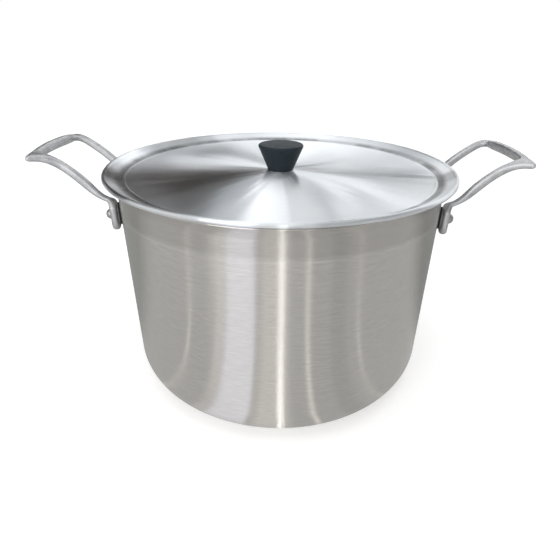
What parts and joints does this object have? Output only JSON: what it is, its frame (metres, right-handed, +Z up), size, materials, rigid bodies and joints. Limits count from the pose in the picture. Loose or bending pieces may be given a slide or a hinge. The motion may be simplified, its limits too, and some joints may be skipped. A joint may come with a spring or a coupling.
{
  "type": "stock pot",
  "caption": "Straight-sided aluminium stock pot with riveted cast loop handles and a lift-off lid carrying a black tapered knob.",
  "frame": {"origin": "centre of the flat base, on the surface the pot stands on", "axes": "+Z up along the pot's axis, X through the two handles, Y square to them"},
  "size_m": [0.456, 0.343, 0.2457],
  "materials": {
    "wall_aluminium": "fine circumferential brushing",
    "lid_aluminium": "spun and polished",
    "cast_aluminium": "satin tumbled casting",
    "rivet_aluminium": "plain upset rivet",
    "phenolic": "moulded black phenolic",
    "brass": "turned",
    "plated_steel": "bright zinc plate"
  },
  "bodies": {
    "pot": {"pot_body": "wall_aluminium", "left_handle": "cast_aluminium", "right_handle": "cast_aluminium", "left_handle_rivets": "rivet_aluminium", "right_handle_rivets": "rivet_aluminium"},
    "cover": {"lid": "lid_aluminium", "knob": "phenolic", "knob_insert": "brass", "knob_screw": "plated_steel", "knob_washer": "plated_steel"}
  },
  "joints": [
    {"name": "lid_lift", "type": "slide", "parent": "pot", "child": "cover", "axis": [0, 0, 1], "range_m": [0, 0.2]}
  ]
}
